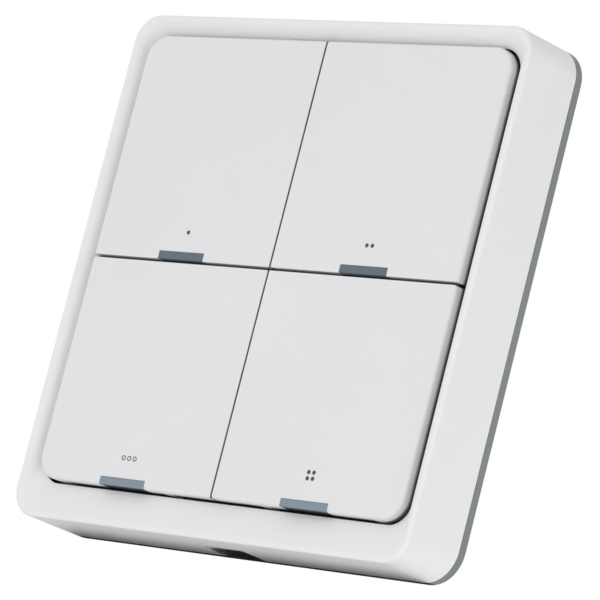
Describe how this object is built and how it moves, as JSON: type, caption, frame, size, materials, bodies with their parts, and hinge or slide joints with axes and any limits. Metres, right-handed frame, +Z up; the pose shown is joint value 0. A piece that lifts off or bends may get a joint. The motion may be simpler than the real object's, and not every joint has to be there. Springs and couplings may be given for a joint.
{
  "type": "wi-fi wall switch",
  "caption": "Square surface-mounted wireless wall switch with broad hinged keys, small light windows, a dished rim and a grey wall plate.",
  "frame": {"origin": "middle of the base plate's back face, on the wall", "axes": "+Z up as it hangs on the wall, +X to the right seen from the front, +Y into the wall; the keys face -Y"},
  "size_m": [0.086, 0.0131, 0.086],
  "materials": {
    "white_plastic": "satin moulded plastic",
    "grey_plastic": "fine matt moulded plastic",
    "dark_plastic": "matt moulded plastic",
    "window_blue": "translucent satin plastic",
    "foam_tape": "foam with a paper liner",
    "board_laminate": "glass laminate under solder resist",
    "bright_steel": "nickel-plated",
    "spring_steel": "plated spring strip",
    "chip_black": "moulded resin",
    "capacitor_tan": "fired ceramic",
    "plunger_white": "moulded plastic",
    "lamp_resin": "clear resin over a lamp chip"
  },
  "bodies": {
    "base": {"base_plate": "grey_plastic", "adhesive_pad_1": "foam_tape", "adhesive_pad_2": "foam_tape"},
    "front_unit": {"housing": "white_plastic", "key_frame": "dark_plastic", "rear_cover": "grey_plastic", "circuit_board": "board_laminate", "case_screws": "bright_steel", "radio_board": "board_laminate", "radio_shield": "bright_steel", "controller_chip": "chip_black", "power_inductor": "chip_black", "crystal": "bright_steel", "chip_capacitors": "capacitor_tan", "coin_cell_1": "bright_steel", "coin_cell_2": "bright_steel", "cell_holder_1": "chip_black", "cell_holder_2": "chip_black", "cell_clip_1": "spring_steel", "cell_clip_2": "spring_steel", "cell_contact_1": "spring_steel", "cell_contact_2": "spring_steel", "switch_body_1": "chip_black", "switch_body_2": "chip_black", "switch_body_3": "chip_black", "switch_body_4": "chip_black", "switch_cover_1": "bright_steel", "switch_cover_2": "bright_steel", "switch_cover_3": "bright_steel", "switch_cover_4": "bright_steel", "led_1": "lamp_resin", "led_2": "lamp_resin", "led_3": "lamp_resin", "led_4": "lamp_resin"},
    "key_1": {"key_1": "white_plastic", "light_guide_1": "window_blue"},
    "plunger_1": {"switch_plunger_1": "plunger_white"},
    "key_2": {"key_2": "white_plastic", "light_guide_2": "window_blue"},
    "plunger_2": {"switch_plunger_2": "plunger_white"},
    "key_3": {"key_3": "white_plastic", "light_guide_3": "window_blue"},
    "plunger_3": {"switch_plunger_3": "plunger_white"},
    "key_4": {"key_4": "white_plastic", "light_guide_4": "window_blue"},
    "plunger_4": {"switch_plunger_4": "plunger_white"}
  },
  "joints": [
    {"name": "front_release", "type": "slide", "parent": "base", "child": "front_unit", "axis": [0, -1, 0], "range_m": [0, 0.03]},
    {"name": "key_1_press", "type": "hinge", "parent": "front_unit", "child": "key_1", "pos_m": [-0.01977, -0.0101, 0.03257], "axis": [1, 0, 0], "range_deg": [0, 1.5], "stiffness_Nm_per_rad": 0.6, "springref_deg": -0.57},
    {"name": "plunger_1_travel", "type": "slide", "parent": "front_unit", "child": "plunger_1", "axis": [0, 1, 0], "range_m": [0, 0.0004]},
    {"name": "key_2_press", "type": "hinge", "parent": "front_unit", "child": "key_2", "pos_m": [0.01977, -0.0101, 0.03257], "axis": [1, 0, 0], "range_deg": [0, 1.5], "stiffness_Nm_per_rad": 0.6, "springref_deg": -0.57},
    {"name": "plunger_2_travel", "type": "slide", "parent": "front_unit", "child": "plunger_2", "axis": [0, 1, 0], "range_m": [0, 0.0004]},
    {"name": "key_3_press", "type": "hinge", "parent": "front_unit", "child": "key_3", "pos_m": [-0.01977, -0.0101, -0.00566], "axis": [1, 0, 0], "range_deg": [0, 1.5], "stiffness_Nm_per_rad": 0.6, "springref_deg": -0.57},
    {"name": "plunger_3_travel", "type": "slide", "parent": "front_unit", "child": "plunger_3", "axis": [0, 1, 0], "range_m": [0, 0.0004]},
    {"name": "key_4_press", "type": "hinge", "parent": "front_unit", "child": "key_4", "pos_m": [0.01977, -0.0101, -0.00566], "axis": [1, 0, 0], "range_deg": [0, 1.5], "stiffness_Nm_per_rad": 0.6, "springref_deg": -0.57},
    {"name": "plunger_4_travel", "type": "slide", "parent": "front_unit", "child": "plunger_4", "axis": [0, 1, 0], "range_m": [0, 0.0004]}
  ],
  "couplings": [
    {"joint": "plunger_1_travel", "follows": "key_1_press", "m_per_rad": 0.015},
    {"joint": "plunger_2_travel", "follows": "key_2_press", "m_per_rad": 0.015},
    {"joint": "plunger_3_travel", "follows": "key_3_press", "m_per_rad": 0.015},
    {"joint": "plunger_4_travel", "follows": "key_4_press", "m_per_rad": 0.015}
  ]
}
